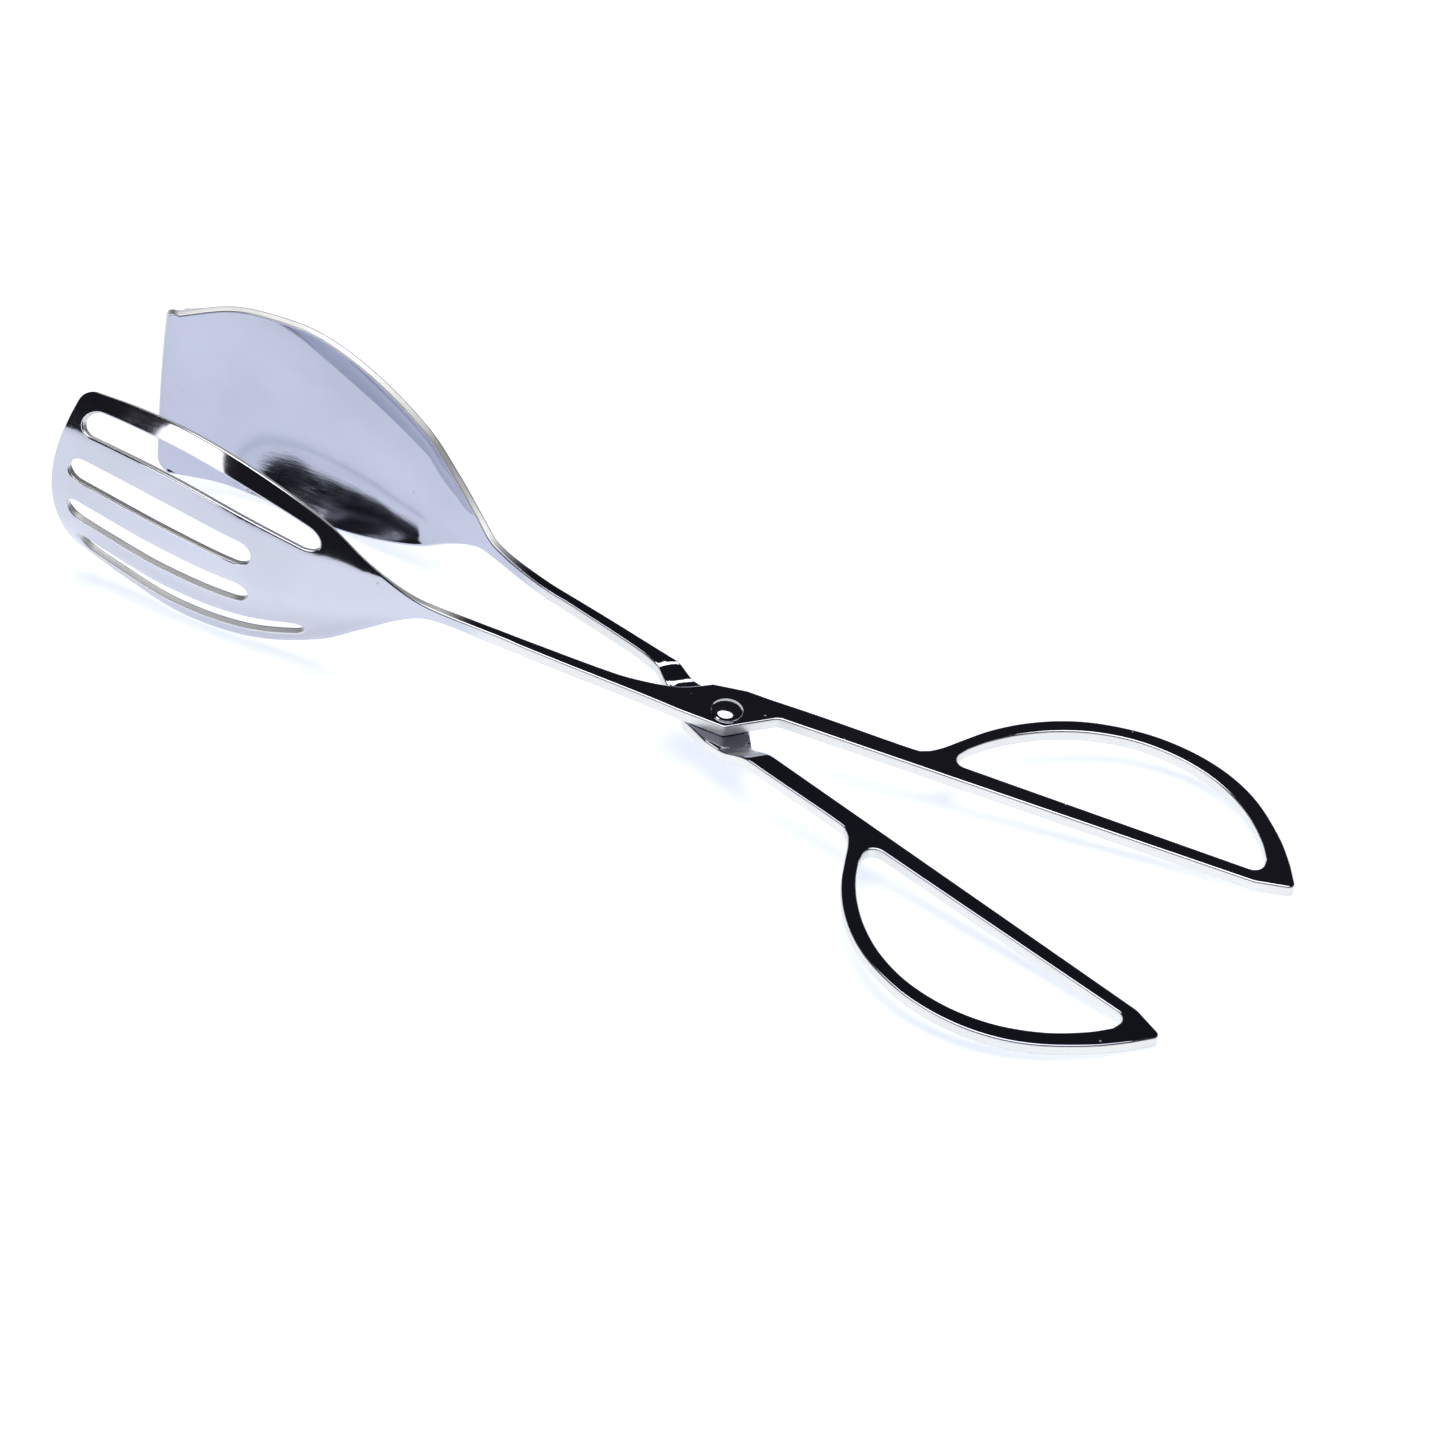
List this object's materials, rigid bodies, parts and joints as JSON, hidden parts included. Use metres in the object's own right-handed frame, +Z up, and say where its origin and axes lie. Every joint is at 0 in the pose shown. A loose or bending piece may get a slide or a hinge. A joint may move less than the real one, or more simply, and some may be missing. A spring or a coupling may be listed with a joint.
{
  "type": "serving tongs",
  "caption": "Scissor-action serving tongs: a slotted scoop and a solid blade crossed on a rivet, with D-shaped finger loops.",
  "frame": {"origin": "middle of the footprint, on the table the tongs rest on", "axes": "+X from the heads to the finger loops, +Y from the slotted scoop's side to the blade's side, +Z up from the table"},
  "size_m": [0.2638, 0.0972, 0.0507],
  "materials": {
    "polished_steel": "mirror-polished stainless steel with fine wiping marks",
    "rivet_steel": "polished stainless steel rivet"
  },
  "bodies": {
    "slotted_body": {"slotted_half": "polished_steel", "rivet": "rivet_steel"},
    "blade_body": {"blade_half": "polished_steel"}
  },
  "joints": [
    {"name": "tongs_hinge", "type": "hinge", "parent": "slotted_body", "child": "blade_body", "pos_m": [0.0164, 0, 0.01142], "axis": [0.0986, 0, 0.9951], "range_deg": [-25, 10.5]}
  ]
}
